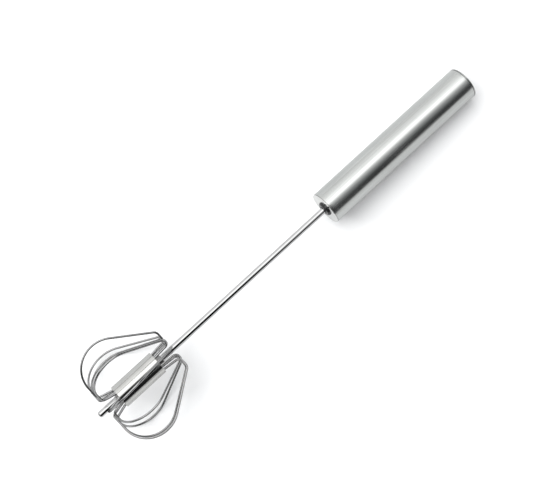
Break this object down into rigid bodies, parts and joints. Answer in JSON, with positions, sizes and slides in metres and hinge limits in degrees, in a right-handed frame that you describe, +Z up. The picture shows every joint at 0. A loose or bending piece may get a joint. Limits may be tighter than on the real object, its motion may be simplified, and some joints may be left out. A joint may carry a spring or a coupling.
{
  "type": "rotary hand whisk",
  "caption": "All-steel hand-pushed rotary egg whisk: a straight cylindrical handle slides down over a slim shaft and spins a flared head of wire loops.",
  "frame": {"origin": "middle of the bounding box's underside, on the table the tool lies on", "axes": "+X along the tool from the whisk's tip towards the handle, +Z up; the tool lies on two of its wire loops and the rim of its top cap, so its own axis is 3.3 degrees off the table"},
  "size_m": [0.3002, 0.066, 0.0612],
  "materials": {
    "handle_steel": "satin, fine lengthwise grain",
    "cap_steel": "polished stainless steel",
    "shaft_steel": "polished stainless steel",
    "hub_steel": "polished stainless steel",
    "wire_steel": "bright drawn stainless wire",
    "core_steel": "dull turned steel",
    "inner_steel": "plain mill finish",
    "spring_steel": "drawn spring wire",
    "nut_brass": "machined",
    "bush_nylon": "moulded, matte"
  },
  "bodies": {
    "handle": {"handle_tube": "handle_steel", "top_cap": "handle_steel", "bottom_cap": "cap_steel", "guide_bush": "bush_nylon", "strip_anchor": "inner_steel", "anchor_pin": "inner_steel", "spring_seat": "inner_steel", "twisted_strip": "inner_steel", "return_spring": "spring_steel"},
    "carriage": {"thrust_washer": "inner_steel"},
    "beater": {"shaft_tube": "shaft_steel", "shaft_tip": "shaft_steel", "drive_nut": "nut_brass", "hub_sleeve": "hub_steel", "hub_core": "core_steel", "wire_loop_1": "wire_steel", "wire_loop_2": "wire_steel", "wire_loop_3": "wire_steel", "wire_loop_4": "wire_steel", "wire_loop_5": "wire_steel", "wire_loop_6": "wire_steel", "wire_loop_7": "wire_steel", "wire_loop_8": "wire_steel", "wire_loop_9": "wire_steel"}
  },
  "joints": [
    {"name": "push", "type": "slide", "parent": "carriage", "child": "handle", "axis": [-0.9983, 0, 0.0575], "range_m": [0, 0.07], "stiffness_N_per_m": 150, "springref_m": -0.02, "deforming": ["return_spring"]},
    {"name": "spin", "type": "hinge", "parent": "carriage", "child": "beater", "pos_m": [0.04963, 0.00013, 0.01658], "axis": [0.9983, 0, -0.0575], "range_deg": [0, 720]}
  ],
  "couplings": [
    {"joint": "spin", "follows": "push", "rad_per_m": 179.52}
  ]
}
